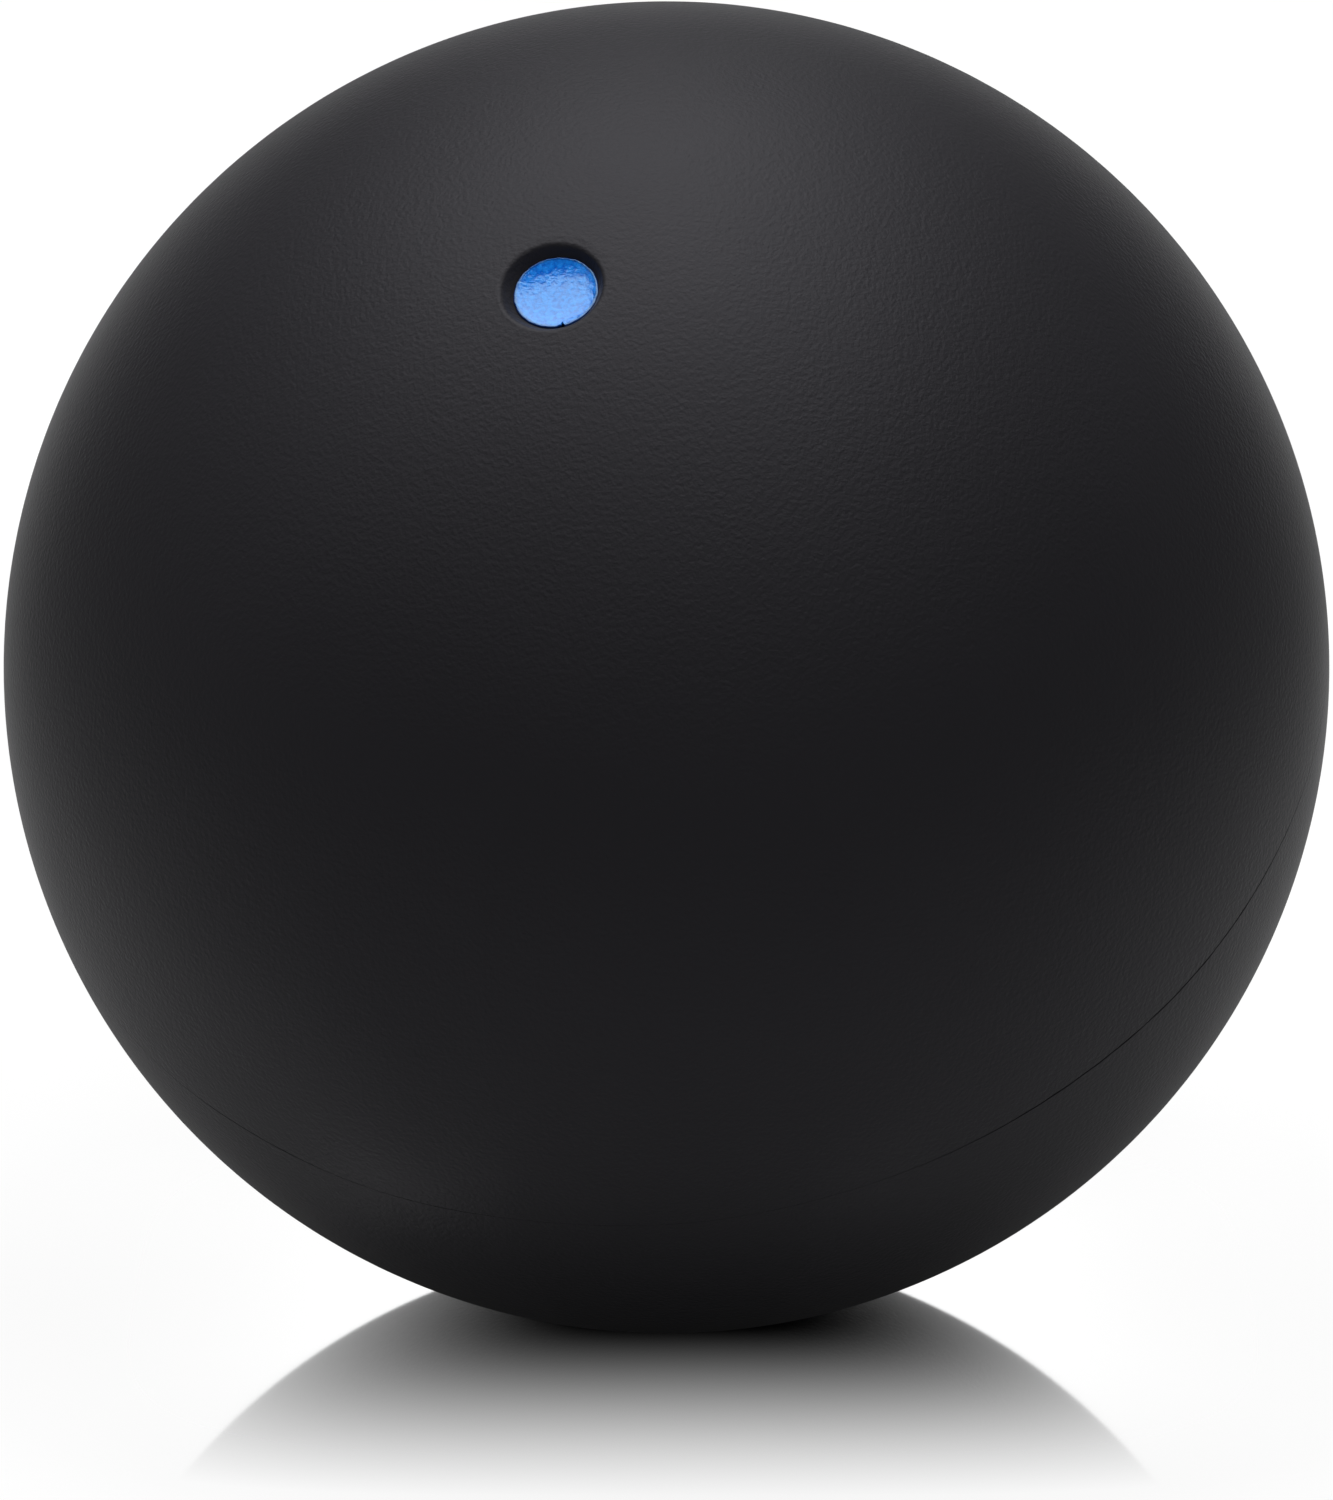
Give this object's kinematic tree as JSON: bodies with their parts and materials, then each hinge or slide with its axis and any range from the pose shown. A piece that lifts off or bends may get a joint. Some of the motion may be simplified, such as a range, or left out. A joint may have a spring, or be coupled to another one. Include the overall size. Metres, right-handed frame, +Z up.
{
  "type": "squash ball",
  "caption": "Small hollow rubber ball of two bonded half shells with a painted dot in a shallow well, for bouncing off the walls of a squash court.",
  "frame": {"origin": "centre of the ball", "axes": "+Z up as the ball lies in the picture, with the dot turned towards -Y and up and the ball's lowest point on -Z"},
  "size_m": [0.04, 0.04, 0.04],
  "materials": {
    "rubber": "matte, finely buffed",
    "cured_cement": "matte",
    "dot_paint": "satin paint, slightly mottled"
  },
  "bodies": {
    "root": {"dot_half_shell": "rubber", "plain_half_shell": "rubber", "seam_bond": "cured_cement", "dot_paint": "dot_paint"}
  },
  "joints": []
}
